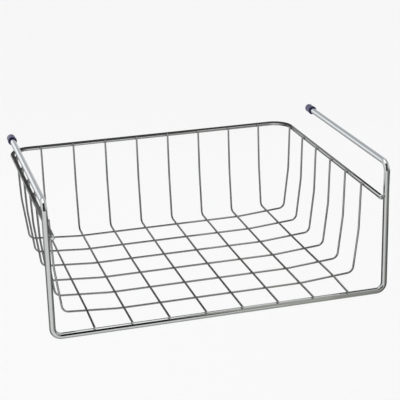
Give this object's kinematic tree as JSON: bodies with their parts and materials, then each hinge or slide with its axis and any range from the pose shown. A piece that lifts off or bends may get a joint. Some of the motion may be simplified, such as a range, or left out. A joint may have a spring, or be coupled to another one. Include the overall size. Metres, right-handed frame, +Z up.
{
  "type": "under shelf basket",
  "caption": "Chromed welded wire basket that hangs below a shelf board by long arms with plastic end caps, open at the front and the top.",
  "frame": {"origin": "centre of the footprint, on the surface that the basket stands on when it is put down", "axes": "+X to the basket's right seen from its open front, +Y from the open front to the back, +Z up"},
  "size_m": [0.333, 0.2756, 0.1364],
  "materials": {
    "rod_chrome": "bright chrome plate on a smooth round rod, with a faint drawn grain",
    "wire_chrome": "bright chrome plate on thin wire, a little duller at the welds",
    "cap_plastic": "dark blue moulded plastic, soft gloss"
  },
  "bodies": {
    "root": {"hanger_frame": "rod_chrome", "rim_rod": "rod_chrome", "cross_wire_1": "wire_chrome", "cross_wire_2": "wire_chrome", "cross_wire_3": "wire_chrome", "cross_wire_4": "wire_chrome", "cross_wire_5": "wire_chrome", "cross_wire_6": "wire_chrome", "long_wire_1": "wire_chrome", "long_wire_2": "wire_chrome", "long_wire_3": "wire_chrome", "long_wire_4": "wire_chrome", "long_wire_5": "wire_chrome", "long_wire_6": "wire_chrome", "long_wire_7": "wire_chrome", "long_wire_8": "wire_chrome", "left_arm_cap": "cap_plastic", "right_arm_cap": "cap_plastic"}
  },
  "joints": []
}
